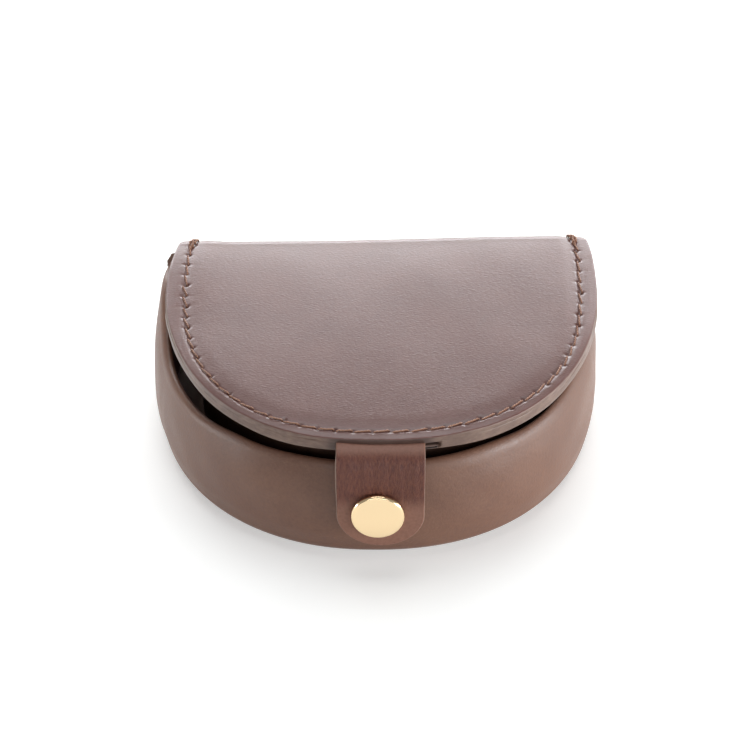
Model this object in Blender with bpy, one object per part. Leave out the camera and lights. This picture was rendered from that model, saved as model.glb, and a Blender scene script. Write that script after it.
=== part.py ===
# Horseshoe coin purse of vegetable-tanned leather, shut by a tab with a press stud.
# A walled tray stands on the base. A second, smaller tray hangs under the lid and nests in it.
# Both are open at the back, where a folded leather spine joins the base to the lid.
# Lengths are in metres and +Z is up. The tab faces -Y, and the spine is at +Y.
# The origin is on the resting plane, below the middle of the purse.

import math

import bmesh
import bpy
from mathutils import Matrix, Vector

MM = 0.001

# Outline of the purse, seen from above
LID_HALF_WIDTH = 41.8 * MM  # at the widest line, where y is 0 before centring
LID_FRONT_REACH = 52.2 * MM  # from the widest line forward to the lid's edge
LID_DRAW_IN = 0.6 * MM  # how far each side comes in again at the fold
REAR_REACH = 10.2 * MM  # from the widest line back to where tray and lid end
TRAY_OVERHANG = 2.0 * MM  # outer wall beyond the lid's edge at each side
TRAY_FRONT_SETBACK = 1.0 * MM  # outer wall behind the lid's front edge
TRAY_DRAW_IN = 1.2 * MM
LID_CORNER_POWER = 2.36  # 2 is an ellipse, and more is squarer
TRAY_CORNER_POWER = 2.2
PURSE_HEIGHT = 30.0 * MM

# Leather, board and lining
COVER_LEATHER = 1.1 * MM
WALL_LEATHER = 1.2 * MM
INNER_LEATHER = 0.9 * MM
WELT_LEATHER = 1.0 * MM
HEM_LEATHER = 0.7 * MM  # a turned edge is pared thinner
WALL_BOARD = 0.7 * MM
LINING_LEATHER = 0.6 * MM
GLUE_GAP = 0.3 * MM  # between two pieces that lie on each other

# Outer wall
WALL_FOOT_RADIUS = 2.6 * MM
WALL_FLANGE = 8.5 * MM  # turned in under the base board
WALL_BULGE = 0.4 * MM
BASE_EDGE_INSET = 1.5 * MM
LID_TO_WALL_GAP = 1.2 * MM  # the dark line under the lid's edge
HEM_DEPTH = 5.0 * MM

# Inner wall
NEST_SIDE_GAP = 3.4 * MM
NEST_FRONT_GAP = 2.5 * MM
INNER_WALL_FILLET = 1.0 * MM

# Spine
SPINE_BEND_RADIUS = 3.0 * MM  # at the middle of the cover leather
FOLD_GAP = 0.4 * MM  # between a fixed edge and the piece that folds away from it

# Tab
TAB_WIDTH = 16.2 * MM
TAB_LEATHER = 1.4 * MM
TAB_END_LENGTH = 7.2 * MM  # height of the rounded end
TAB_ROOT_LENGTH = 4.6 * MM  # sewn in between cover and flange
TAB_BELOW_SNAP = 7.5 * MM

# Press stud
SNAP_BELOW_TOP = 15.2 * MM  # from the lid's face down to the middle of the cap
CAP_RADIUS = 5.0 * MM
CAP_DEPTH = 1.0 * MM
CAP_CROWN = 0.2 * MM
CAP_RIM_RADIUS = 0.45 * MM
SHEET_BRASS = 0.35 * MM
CAP_POST_RADIUS = 1.0 * MM
CAP_POST_END = 0.2 * MM  # clinched past the socket's floor
SOCKET_DEPTH = 1.4 * MM
SOCKET_FLOOR = 0.3 * MM
SOCKET_LIP = 0.25 * MM
SOCKET_RIM = 0.9 * MM
SNAP_CLEARANCE = 0.3 * MM
SPRING_WIRE_RADIUS = 0.2 * MM
SPRING_OPENING = math.radians(50)
STUD_PLATE = 0.5 * MM
STUD_PLATE_RADIUS = 3.9 * MM
STUD_HEAD_RADIUS = 1.9 * MM
STUD_NECK_RADIUS = 1.6 * MM
STUD_HEAD_LENGTH = 0.9 * MM
POST_RADIUS = 1.0 * MM
POST_FLANGE_RADIUS = 3.8 * MM
POST_FLANGE = 0.4 * MM

# Fineness of the round forms
FRONT_STEPS = 40
SIDE_STEPS = 3
BEND_STEPS = 4
ROLL_STEPS = 6
BULGE_STEPS = 4
TURN_STEPS = 32
WIRE_SIDES = 8
WIRE_STEPS = 24
SHARP_ANGLE = math.radians(32)
CUT_OVERRUN = 1.0 * MM
MERGE_DISTANCE = 0.001 * MM
QUARTER_TURN = math.pi / 2

# Colours as seen
CALF = "7A5F58"
CALF_SHADE = "6B4C42"
LINING = "6E5248"
BOARD = "8C7A66"
BRASS = "E2C48E"
STEEL = "B9B4AA"

# Derived sizes of the tray
tray_half_width = LID_HALF_WIDTH + TRAY_OVERHANG
tray_front_reach = LID_FRONT_REACH - TRAY_FRONT_SETBACK
wall_thickness = WALL_LEATHER + GLUE_GAP + WALL_BOARD + GLUE_GAP + HEM_LEATHER
flange_foot = COVER_LEATHER + GLUE_GAP
flange_top = flange_foot + WALL_LEATHER
floor_foot = flange_top + GLUE_GAP
floor_top = floor_foot + LINING_LEATHER
wall_foot_top = flange_foot + WALL_FOOT_RADIUS

# Derived sizes of the lid and of the tray under it
cover_foot = PURSE_HEIGHT - COVER_LEATHER
welt_top = cover_foot - GLUE_GAP
welt_foot = welt_top - WELT_LEATHER
rim_top = welt_foot - GLUE_GAP
rim_foot = rim_top - INNER_LEATHER
inner_half_width = tray_half_width - wall_thickness - NEST_SIDE_GAP
inner_front_reach = tray_front_reach - wall_thickness - NEST_FRONT_GAP
inner_thickness = INNER_LEATHER + GLUE_GAP + WALL_BOARD + GLUE_GAP + HEM_LEATHER
inner_foot = floor_top + GLUE_GAP
inner_roll_height = inner_foot + inner_thickness / 2

# Derived sizes of the outer wall's rolled top edge
wall_top = rim_foot - LID_TO_WALL_GAP
wall_roll_height = wall_top - wall_thickness / 2
hem_foot = wall_roll_height - HEM_DEPTH

# Derived sizes of the spine. A bend that straightens by a quarter turn keeps its length when
# it turns about a line this share of its radius out from its centre, both ways.
pivot_share = math.pi / 4
fold_line = REAR_REACH + FOLD_GAP
spine_outer_radius = SPINE_BEND_RADIUS + COVER_LEATHER / 2
spine_rear = fold_line + spine_outer_radius
pivot_offset = pivot_share * SPINE_BEND_RADIUS
hinge_y = fold_line + pivot_offset
base_hinge_height = spine_outer_radius - pivot_offset
lid_hinge_height = PURSE_HEIGHT - base_hinge_height

# Derived sizes of the press stud, as distances from the widest line towards the front
snap_height = PURSE_HEIGHT - SNAP_BELOW_TOP
wall_front = tray_front_reach + WALL_BULGE
stud_plate_back = wall_front + GLUE_GAP
stud_plate_front = stud_plate_back + STUD_PLATE
socket_mouth = stud_plate_front + GLUE_GAP
socket_back = socket_mouth + SOCKET_DEPTH
strap_back = socket_back + GLUE_GAP
strap_front = strap_back + TAB_LEATHER
cap_back = strap_front + GLUE_GAP
cap_front = cap_back + CAP_DEPTH
socket_bore = STUD_HEAD_RADIUS + SNAP_CLEARANCE
groove_radius = socket_bore + SPRING_WIRE_RADIUS * 2 + SNAP_CLEARANCE
socket_radius = groove_radius + SOCKET_RIM

# Derived sizes of the tab, which leaves the lid's edge and bends down
tab_start = LID_FRONT_REACH + FOLD_GAP
tab_bend_inner = strap_back - tab_start
tab_bend_outer = tab_bend_inner + TAB_LEATHER
tab_bend_height = welt_top - tab_bend_outer
tab_hinge_reach = tab_start + pivot_share * (tab_bend_inner + TAB_LEATHER / 2)
tab_hinge_height = welt_top - TAB_LEATHER / 2
tab_foot = snap_height - TAB_BELOW_SNAP

# The purse is centred on the origin from its spine to the cap of the press stud
CENTRING = Vector((0.0, (cap_front - spine_rear) / 2, 0.0))


def linear(hex_colour):
    """Turn a colour as seen on a screen into light values."""
    channels = [int(hex_colour[place:place + 2], 16) / 255 for place in (0, 2, 4)]
    return [c / 12.92 if c <= 0.04045 else ((c + 0.055) / 1.055) ** 2.4 for c in channels] + [1.0]


def finish(name, hex_colour, roughness, metallic):
    """Make the material of one piece."""
    material = bpy.data.materials.new(name + "_finish")
    material.use_nodes = True
    shader = material.node_tree.nodes["Principled BSDF"]
    shader.inputs["Base Color"].default_value = linear(hex_colour)
    shader.inputs["Roughness"].default_value = roughness
    shader.inputs["Metallic"].default_value = metallic
    return material


def add_piece(name, shape, hex_colour, roughness=0.55, metallic=0.0):
    """Turn a finished shape into a named object."""
    bmesh.ops.recalc_face_normals(shape, faces=shape.faces)
    mesh = bpy.data.meshes.new(name)
    shape.to_mesh(mesh)
    shape.free()
    mesh.shade_smooth()
    mesh.set_sharp_from_angle(angle=SHARP_ANGLE)
    mesh.materials.append(finish(name, hex_colour, roughness, metallic))
    piece = bpy.data.objects.new(name, mesh)
    bpy.context.scene.collection.objects.link(piece)
    return piece


def horseshoe(half_width, front_reach, draw_in, corner_power, inset):
    """Points of a horseshoe, from one rear end round the front to the other, moved in by inset."""
    side = []
    for step in range(SIDE_STEPS):
        y = REAR_REACH * (1 - step / SIDE_STEPS)
        side.append((half_width - draw_in * (y / REAR_REACH) ** 2 - inset, y))
    front = []
    for step in range(FRONT_STEPS + 1):
        turn = math.pi * step / FRONT_STEPS
        across = math.copysign(abs(math.cos(turn)) ** (2 / corner_power), math.cos(turn))
        along = abs(math.sin(turn)) ** (2 / corner_power)
        normal = Vector((math.copysign(abs(across) ** (corner_power - 1), across) / half_width,
                         -along ** (corner_power - 1) / front_reach)).normalized()
        front.append((half_width * across - inset * normal.x, -front_reach * along - inset * normal.y))
    return side + front + [(-x, y) for x, y in reversed(side)]


def lid_outline(inset):
    return horseshoe(LID_HALF_WIDTH, LID_FRONT_REACH, LID_DRAW_IN, LID_CORNER_POWER, inset)


def tray_outline(inset):
    return horseshoe(tray_half_width, tray_front_reach, TRAY_DRAW_IN, TRAY_CORNER_POWER, inset)


def inner_outline(inset):
    return horseshoe(inner_half_width, inner_front_reach, TRAY_DRAW_IN, TRAY_CORNER_POWER, inset)


def loft(rings, pointed_end=False):
    """Join equal closed rings into one solid, capped at both ends or drawn to a line at the last."""
    shape = bmesh.new()
    rows = [[shape.verts.new(point) for point in ring] for ring in rings]
    count = len(rows[0])
    for row, following in zip(rows, rows[1:]):
        for place in range(count):
            after = (place + 1) % count
            shape.faces.new((row[place], row[after], following[after], following[place]))
    shape.faces.new(rows[0])
    if pointed_end:
        bmesh.ops.remove_doubles(shape, verts=shape.verts, dist=MERGE_DISTANCE)
    else:
        shape.faces.new(rows[-1])
    return shape


def band(name, section, hex_colour):
    """Sweep a section round the horseshoe. Each of its points is an outline, an inset and a height."""
    columns = [[Vector((x, y, height)) for x, y in outline(inset)] for outline, inset, height in section]
    return add_piece(name, loft(list(zip(*columns))), hex_colour)


def plate(name, outline, foot, thickness, hex_colour):
    """A flat sheet with the given outline, closed by the straight edge at the fold."""
    rings = [[Vector((x, y, height)) for x, y in outline] for height in (foot, foot + thickness)]
    return add_piece(name, loft(rings), hex_colour)


def arc(centre, radius, start, end, steps):
    """Points on a round bend in a section, whose angles count up from the level."""
    along, height = centre
    points = []
    for step in range(steps + 1):
        turn = start + (end - start) * step / steps
        points.append((along + radius * math.cos(turn), height + radius * math.sin(turn)))
    return points


def turned(profile, closed):
    """Turn a profile of (radius, forward distance) about the press stud's axis."""
    shape = bmesh.new()
    rows = []
    for radius, forward in profile:
        if radius == 0:
            rows.append([shape.verts.new((0.0, -forward, snap_height))] * TURN_STEPS)
            continue
        row = []
        for step in range(TURN_STEPS):
            turn = 2 * math.pi * step / TURN_STEPS
            row.append(shape.verts.new((radius * math.cos(turn), -forward,
                                        snap_height + radius * math.sin(turn))))
        rows.append(row)
    followers = rows[1:] + rows[:1] if closed else rows[1:]
    for row, following in zip(rows, followers):
        for place in range(TURN_STEPS):
            after = (place + 1) % TURN_STEPS
            corners = (row[place], row[after], following[after], following[place])
            shape.faces.new(dict.fromkeys(corners))
    return shape


def cut(piece, cutter):
    """Take the cutter's shape out of a piece."""
    cutter.hide_render = True
    cutter.display_type = 'WIRE'
    boolean = piece.modifiers.new(cutter.name, 'BOOLEAN')
    boolean.operation = 'DIFFERENCE'
    boolean.solver = 'EXACT'
    boolean.object = cutter


def snap_hole(name, radius, near, far):
    """A round cutter on the press stud's axis, between two distances forward of the widest line."""
    near = near - CUT_OVERRUN
    far = far + CUT_OVERRUN
    return add_piece(name, turned([(0, near), (radius, near), (radius, far), (0, far)], False), STEEL)


def bulge(height):
    """How far the outer wall swells out at a height."""
    return WALL_BULGE * math.sin(math.pi * (height - wall_foot_top) / (wall_roll_height - wall_foot_top))


def wall_face(inset, foot, top):
    """One upright face of the outer wall, swelling with it, from foot to top."""
    heights = [foot + (top - foot) * step / BULGE_STEPS for step in range(BULGE_STEPS + 1)]
    return [(inset - bulge(height), height) for height in heights]


def build_base():
    """The leather under the purse, the board on it and the lining that forms the tray's floor."""
    return [
        plate("base_cover", tray_outline(BASE_EDGE_INSET), 0.0, COVER_LEATHER, CALF),
        plate("base_board", tray_outline(WALL_FLANGE + GLUE_GAP), flange_foot, WALL_LEATHER, BOARD),
        plate("base_lining", tray_outline(WALL_FOOT_RADIUS), floor_foot, LINING_LEATHER, LINING),
    ]


def build_outer_wall():
    """The tray's wall: leather turned under the base and rolled over a board, with its lining."""
    foot_centre = (WALL_FOOT_RADIUS, wall_foot_top)
    roll_centre = (wall_thickness / 2, wall_roll_height)
    inner_roll = (wall_thickness - WALL_LEATHER - HEM_LEATHER) / 2
    inner_roll_centre = (WALL_LEATHER + inner_roll, wall_roll_height)
    hem_face = wall_thickness - HEM_LEATHER
    path = [(WALL_FLANGE, flange_foot)]
    path += arc(foot_centre, WALL_FOOT_RADIUS, -QUARTER_TURN, -2 * QUARTER_TURN, BEND_STEPS)
    path += wall_face(0.0, wall_foot_top, wall_roll_height)[1:-1]
    path += arc(roll_centre, wall_thickness / 2, 2 * QUARTER_TURN, 0, ROLL_STEPS)
    path += [(wall_thickness, hem_foot), (hem_face, hem_foot)]
    path += arc(inner_roll_centre, inner_roll, 0, 2 * QUARTER_TURN, BEND_STEPS)
    path += wall_face(WALL_LEATHER, wall_roll_height, wall_foot_top)[1:-1]
    path += arc(foot_centre, WALL_FOOT_RADIUS - WALL_LEATHER, -2 * QUARTER_TURN, -QUARTER_TURN, BEND_STEPS)
    path += [(WALL_FLANGE, flange_top)]
    leather = band("outer_wall_leather", [(tray_outline, inset, height) for inset, height in path], CALF)

    board_face = WALL_LEATHER + GLUE_GAP
    path = wall_face(board_face, wall_foot_top, wall_roll_height)
    path += wall_face(board_face + WALL_BOARD, wall_roll_height, wall_foot_top)
    board = band("outer_wall_board", [(tray_outline, inset, height) for inset, height in path], BOARD)

    lining_foot = floor_top + GLUE_GAP
    lining_top = hem_foot - GLUE_GAP
    lining_face = hem_face
    path = wall_face(lining_face, lining_foot, lining_top)
    path += wall_face(lining_face + LINING_LEATHER, lining_top, lining_foot)
    lining = band("outer_wall_lining", [(tray_outline, inset, height) for inset, height in path], LINING)

    leather_back = wall_front - WALL_LEATHER
    cut(leather, snap_hole("post_hole", POST_RADIUS + SNAP_CLEARANCE, leather_back, wall_front))
    board_back = leather_back - GLUE_GAP - WALL_BOARD
    cut(board, snap_hole("flange_pocket", POST_FLANGE_RADIUS + SNAP_CLEARANCE, board_back, leather_back))
    return [leather, board, lining]


def build_stud():
    """The male half of the press stud and the post that holds it through the wall."""
    head_end = stud_plate_front + STUD_HEAD_LENGTH
    bore = POST_RADIUS + SNAP_CLEARANCE
    rounding = STUD_HEAD_RADIUS - STUD_NECK_RADIUS
    profile = [
        (bore, stud_plate_back),
        (STUD_PLATE_RADIUS - rounding, stud_plate_back),
        (STUD_PLATE_RADIUS, stud_plate_back + rounding),
        (STUD_PLATE_RADIUS - rounding, stud_plate_front),
        (STUD_NECK_RADIUS, stud_plate_front),
        (STUD_NECK_RADIUS, head_end - 2 * rounding),
        (STUD_HEAD_RADIUS, head_end - rounding),
        (STUD_NECK_RADIUS, head_end),
        (bore, head_end),
    ]
    stud = add_piece("snap_stud", turned(profile, True), BRASS, 0.3, 1.0)

    flange_front = wall_front - WALL_LEATHER - GLUE_GAP
    flange_back = flange_front - POST_FLANGE
    post_end = head_end - rounding
    profile = [
        (0, flange_back),
        (POST_FLANGE_RADIUS, flange_back),
        (POST_FLANGE_RADIUS, flange_front),
        (POST_RADIUS, flange_front),
        (POST_RADIUS, post_end),
        (0, post_end),
    ]
    post = add_piece("stud_post", turned(profile, False), STEEL, 0.35, 1.0)
    return [stud, post]


def spine_section(outer_radius, thickness):
    """Points of a strip that folds over at the top and at the base, as (distance back, height)."""
    top_centre = (fold_line, PURSE_HEIGHT - spine_outer_radius)
    base_centre = (fold_line, spine_outer_radius)
    inner_radius = outer_radius - thickness
    path = arc(top_centre, outer_radius, QUARTER_TURN, 0, BEND_STEPS)
    path += arc(base_centre, outer_radius, 0, -QUARTER_TURN, BEND_STEPS)
    path += arc(base_centre, inner_radius, -QUARTER_TURN, 0, BEND_STEPS)
    path += arc(top_centre, inner_radius, 0, QUARTER_TURN, BEND_STEPS)
    return path


def build_spine():
    """The strip of cover leather that folds round the back, and the lining inside it."""
    top_half_width = lid_outline(0.0)[0][0]
    base_half_width = tray_outline(BASE_EDGE_INSET)[0][0]
    pieces = []
    layers = [("spine_cover", spine_outer_radius, COVER_LEATHER, CALF),
              ("spine_lining", spine_outer_radius - COVER_LEATHER - GLUE_GAP, LINING_LEATHER, LINING)]
    for name, radius, thickness, colour in layers:
        rings = []
        for side in (-1, 1):
            ring = []
            for y, z in spine_section(radius, thickness):
                half_width = base_half_width + (top_half_width - base_half_width) * z / PURSE_HEIGHT
                ring.append(Vector((side * half_width, y, z)))
            rings.append(ring)
        pieces.append(add_piece(name, loft(rings), colour))
    return pieces


def build_lid():
    """The lid's cover, the welt round its edge, the board inside the welt and the lining below."""
    lining_inset = INNER_LEATHER + GLUE_GAP + WALL_BOARD + GLUE_GAP
    welt = band("lid_welt", [(lid_outline, 0.0, welt_foot), (inner_outline, 0.0, welt_foot),
                             (inner_outline, 0.0, welt_top), (lid_outline, 0.0, welt_top)], CALF_SHADE)
    cut(welt, tab_notch())
    return [
        plate("lid_cover", lid_outline(0.0), cover_foot, COVER_LEATHER, CALF),
        welt,
        plate("lid_board", inner_outline(GLUE_GAP), welt_foot, WELT_LEATHER, BOARD),
        plate("lid_lining", inner_outline(lining_inset), rim_top - LINING_LEATHER, LINING_LEATHER, LINING),
    ]


def box(name, low, high):
    """A plain block between two corners."""
    shape = bmesh.new()
    bmesh.ops.create_cube(shape, size=1.0)
    size = Vector(high) - Vector(low)
    bmesh.ops.scale(shape, vec=size, verts=shape.verts)
    bmesh.ops.translate(shape, vec=Vector(low) + size / 2, verts=shape.verts)
    return add_piece(name, shape, CALF)


def tab_notch():
    """The cutter that makes room for the tab's root in the welt."""
    half = TAB_WIDTH / 2 + GLUE_GAP
    back = -(LID_FRONT_REACH - TAB_ROOT_LENGTH - GLUE_GAP)
    front = -(LID_FRONT_REACH + CUT_OVERRUN)
    return box("tab_notch", (-half, front, welt_foot - CUT_OVERRUN), (half, back, welt_top + CUT_OVERRUN))


def build_inner_wall():
    """The lid's own wall: leather flanged out under the welt and turned up round a board, lined."""
    bend_centre = (-INNER_WALL_FILLET, rim_foot - INNER_WALL_FILLET)
    roll_centre = (inner_thickness / 2, inner_roll_height)
    inner_roll = (inner_thickness - INNER_LEATHER - HEM_LEATHER) / 2
    inner_roll_centre = (INNER_LEATHER + inner_roll, inner_roll_height)
    hem_face = inner_thickness - HEM_LEATHER
    hem_top = inner_roll_height + HEM_DEPTH
    outer_bend = INNER_WALL_FILLET + INNER_LEATHER
    path = arc(bend_centre, INNER_WALL_FILLET, QUARTER_TURN, 0, BEND_STEPS)
    path += arc(roll_centre, inner_thickness / 2, -2 * QUARTER_TURN, 0, ROLL_STEPS)
    path += [(inner_thickness, hem_top), (hem_face, hem_top)]
    path += arc(inner_roll_centre, inner_roll, 0, -2 * QUARTER_TURN, BEND_STEPS)
    path += arc(bend_centre, outer_bend, 0, QUARTER_TURN, BEND_STEPS)
    section = [(lid_outline, 0.0, rim_foot)]
    section += [(inner_outline, inset, height) for inset, height in path]
    section += [(lid_outline, 0.0, rim_top)]
    leather = band("inner_wall_leather", section, CALF_SHADE)

    board_face = INNER_LEATHER + GLUE_GAP
    board_back = board_face + WALL_BOARD
    corners = [(board_face, inner_roll_height), (board_back, inner_roll_height),
               (board_back, rim_top), (board_face, rim_top)]
    board = band("inner_wall_board", [(inner_outline, inset, height) for inset, height in corners], BOARD)

    lining_foot = hem_top + GLUE_GAP
    lining_top = rim_top - LINING_LEATHER - GLUE_GAP
    corners = [(hem_face, lining_foot), (hem_face + LINING_LEATHER, lining_foot),
               (hem_face + LINING_LEATHER, lining_top), (hem_face, lining_top)]
    lining = band("inner_wall_lining", [(inner_outline, inset, height) for inset, height in corners], LINING)
    return [leather, board, lining]


def build_tab_root():
    """The end of the tab that is sewn in between the lid's cover and the flange."""
    half = TAB_WIDTH / 2
    return box("tab_root", (-half, -LID_FRONT_REACH, welt_foot),
               (half, -(LID_FRONT_REACH - TAB_ROOT_LENGTH), welt_top))


def build_tab_strap():
    """The tab from the lid's edge to its rounded end, bent down in front of the wall."""
    rows = []
    for step in range(ROLL_STEPS + 1):
        turn = QUARTER_TURN * step / ROLL_STEPS
        faces = [(tab_start + radius * math.sin(turn), tab_bend_height + radius * math.cos(turn))
                 for radius in (tab_bend_outer, tab_bend_inner)]
        rows.append((TAB_WIDTH / 2, faces))
    round_height = tab_foot + TAB_END_LENGTH
    for step in range(ROLL_STEPS * 2 + 1):
        turn = QUARTER_TURN * step / (ROLL_STEPS * 2)
        height = round_height - TAB_END_LENGTH * math.sin(turn)
        rows.append((TAB_WIDTH / 2 * math.cos(turn), [(strap_front, height), (strap_back, height)]))
    rings = []
    for half, ((front, front_height), (back, back_height)) in rows:
        rings.append([Vector((-half, -front, front_height)), Vector((half, -front, front_height)),
                      Vector((half, -back, back_height)), Vector((-half, -back, back_height))])
    strap = add_piece("tab_strap", loft(rings, pointed_end=True), CALF_SHADE)
    cut(strap, snap_hole("cap_post_hole", CAP_POST_RADIUS + SNAP_CLEARANCE, strap_back, strap_front))
    return strap


def build_cap():
    """The polished cap with its rolled rim, and the post that runs back through the tab."""
    edge = CAP_RADIUS - CAP_RIM_RADIUS
    rim_height = cap_front - CAP_CROWN - CAP_RIM_RADIUS
    crown_back = cap_front - CAP_CROWN - SHEET_BRASS
    post_end = socket_back - SOCKET_FLOOR - CAP_POST_END
    profile = [(0, cap_front)]
    for step in range(1, BEND_STEPS):
        share = step / BEND_STEPS
        profile.append((edge * share, cap_front - CAP_CROWN * share ** 2))
    profile += arc((edge, rim_height), CAP_RIM_RADIUS, QUARTER_TURN, 0, BEND_STEPS)
    profile += [
        (CAP_RADIUS, cap_back),
        (CAP_RADIUS - SHEET_BRASS, cap_back),
        (CAP_RADIUS - SHEET_BRASS, crown_back),
        (CAP_POST_RADIUS, crown_back),
        (CAP_POST_RADIUS, post_end),
        (0, post_end),
    ]
    return add_piece("snap_cap", turned(profile, False), BRASS, 0.14, 1.0)


def build_socket():
    """The female half of the press stud, with the groove for its spring, clinched behind the tab."""
    floor = socket_back - SOCKET_FLOOR
    groove_start = socket_mouth + SOCKET_LIP
    hole = CAP_POST_RADIUS + SNAP_CLEARANCE
    profile = [
        (hole, socket_back),
        (hole, floor),
        (groove_radius, floor),
        (groove_radius, groove_start),
        (socket_bore, groove_start),
        (socket_bore, socket_mouth),
        (socket_radius - SOCKET_LIP, socket_mouth),
        (socket_radius, groove_start),
        (socket_radius, floor),
        (socket_radius - SOCKET_FLOOR, socket_back),
    ]
    return add_piece("snap_socket", turned(profile, True), BRASS, 0.3, 1.0)


def build_spring():
    """The open ring of spring wire that lies in the socket's groove."""
    middle = (socket_mouth + SOCKET_LIP + socket_back - SOCKET_FLOOR) / 2
    ring_radius = socket_bore + SPRING_WIRE_RADIUS
    rings = []
    for step in range(WIRE_STEPS + 1):
        turn = SPRING_OPENING / 2 - QUARTER_TURN + (2 * math.pi - SPRING_OPENING) * step / WIRE_STEPS
        ring = []
        for side in range(WIRE_SIDES):
            around = 2 * math.pi * side / WIRE_SIDES
            radius = ring_radius + SPRING_WIRE_RADIUS * math.cos(around)
            ring.append(Vector((radius * math.cos(turn), -middle + SPRING_WIRE_RADIUS * math.sin(around),
                                snap_height + radius * math.sin(turn))))
        rings.append(ring)
    return add_piece("snap_spring", loft(rings), STEEL, 0.3, 1.0)


def axis_empty(name, place, parent=None):
    """An empty on a fold's axis, or on the ground for the tray, carried by the empty before it."""
    empty = bpy.data.objects.new(name, None)
    bpy.context.scene.collection.objects.link(empty)
    empty.location = place
    if parent:
        empty.parent = parent
    return empty


def carry(pieces, empty, axis_place):
    """Hang pieces on an empty, with each piece's own origin on its axis."""
    for piece in pieces:
        cutters = [modifier.object for modifier in piece.modifiers if modifier.type == 'BOOLEAN']
        for shape in [piece] + cutters:
            shape.data.transform(Matrix.Translation(-axis_place))
            shape.parent = empty


for old in list(bpy.data.objects):
    bpy.data.objects.remove(old, do_unlink=True)

base_axis = Vector((0.0, hinge_y, base_hinge_height))
lid_axis = Vector((0.0, hinge_y, lid_hinge_height))
tab_axis = Vector((0.0, -tab_hinge_reach, tab_hinge_height))
tray_empty = axis_empty("tray", CENTRING)
spine_empty = axis_empty("spine_fold", base_axis, tray_empty)
lid_empty = axis_empty("lid_fold", lid_axis - base_axis, spine_empty)
tab_empty = axis_empty("tab_fold", tab_axis - lid_axis, lid_empty)

carry(build_base() + build_outer_wall() + build_stud(), tray_empty, Vector((0.0, 0.0, 0.0)))
carry(build_spine(), spine_empty, base_axis)
carry(build_lid() + build_inner_wall() + [build_tab_root()], lid_empty, lid_axis)
carry([build_tab_strap(), build_cap(), build_socket(), build_spring()], tab_empty, tab_axis)
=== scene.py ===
import math

import bmesh
import bpy
import numpy as np
from mathutils import Matrix, Vector


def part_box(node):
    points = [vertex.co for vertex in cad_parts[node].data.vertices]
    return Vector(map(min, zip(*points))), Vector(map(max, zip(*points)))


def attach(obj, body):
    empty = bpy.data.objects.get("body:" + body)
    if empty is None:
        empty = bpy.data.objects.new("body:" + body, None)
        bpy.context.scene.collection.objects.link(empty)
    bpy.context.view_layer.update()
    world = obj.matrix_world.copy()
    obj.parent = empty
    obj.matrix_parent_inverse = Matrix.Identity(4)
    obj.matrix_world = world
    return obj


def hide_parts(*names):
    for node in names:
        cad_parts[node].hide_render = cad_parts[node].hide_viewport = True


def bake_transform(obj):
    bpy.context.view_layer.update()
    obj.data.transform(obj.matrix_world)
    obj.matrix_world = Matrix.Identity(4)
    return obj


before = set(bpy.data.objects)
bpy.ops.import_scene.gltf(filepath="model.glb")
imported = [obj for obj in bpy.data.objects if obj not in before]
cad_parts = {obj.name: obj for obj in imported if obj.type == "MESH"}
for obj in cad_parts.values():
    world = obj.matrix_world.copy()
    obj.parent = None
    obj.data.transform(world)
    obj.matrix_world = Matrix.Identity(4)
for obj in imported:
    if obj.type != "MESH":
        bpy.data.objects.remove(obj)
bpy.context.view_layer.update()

# Camera
# It looks down on the closed purse from the front, about 0.44 m away, through a lens of 100 mm.
# Its place comes from the lid's outline, the cap's ellipse and the line where the purse stands.
MM = 0.001
WIDEST_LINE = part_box("lid_cover")[1].y - 10.2 * MM  # from here outlines are measured
LID_SHIFT = 0.72 * MM  # the lid sits a little to the right, and the tray to the left
TRAY_SHIFT = -0.72 * MM

SENSOR = 36.0  # width in mm
FOCAL_SHARE = 2078 / 750  # focal length as a share of the picture's width
DISTANCE = 440 * MM
VIEW_TILT = math.radians(36.97)  # below level
VIEW_PAN = math.radians(0.46)
VIEW_ROLL = math.radians(-0.15)

camera_data = bpy.data.cameras.new("camera")
camera_data.sensor_width = SENSOR
camera_data.lens = SENSOR * FOCAL_SHARE
camera_data.clip_start = 0.01
camera_data.clip_end = 20.0
camera = bpy.data.objects.new("camera", camera_data)
bpy.context.scene.collection.objects.link(camera)
view_forward = Vector((0.0, math.cos(VIEW_TILT), -math.sin(VIEW_TILT)))
view_up = Vector((0.0, math.sin(VIEW_TILT), math.cos(VIEW_TILT)))
aim = Vector((-1.62 * MM + LID_SHIFT, 6.47 * MM, 0.0))
pan = Matrix.Rotation(VIEW_PAN, 3, "Z")
axes = Matrix((Vector((1.0, 0.0, 0.0)), view_up, -view_forward)).transposed()
axes = pan @ axes @ Matrix.Rotation(VIEW_ROLL, 3, "Z")
place = pan @ (aim - DISTANCE * view_forward) + Vector((0.0, WIDEST_LINE, 0.0))
camera.matrix_world = Matrix.Translation(place) @ axes.to_4x4()
bpy.context.scene.camera = camera

# Base cover with the lower half of the spine
# One piece of smooth calf, 1.1 mm thick. It lies under the tray as a D, bends up at the straight
# back and meets the lid's half halfway up the spine. It is sewn to the wall's turned-in flange.
COVER = 1.1 * MM
HEIGHT = 30.0 * MM
REAR_REACH = 10.2 * MM  # the straight back, behind the widest line
FOLD_LINE = 10.6 * MM  # where the bends begin
BEND = 3.55 * MM  # outer radius of the spine's two bends
MID_SPINE = 15.0 * MM  # height at which its two halves meet
SPINE_HALF = 40.0 * MM  # half its width there
CLEARANCE = 0.3 * MM  # left between layers for glue and thread
ROUNDNESS = 2.2  # power of the horseshoe curves, where 2 is an ellipse
BASE_SEAM = 5.2 * MM  # from the base's edge


def run_along(points):
    """Length along a line up to each of its points."""
    return np.concatenate([[0], np.cumsum(np.linalg.norm(np.diff(points, axis=0), axis=1))])


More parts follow.
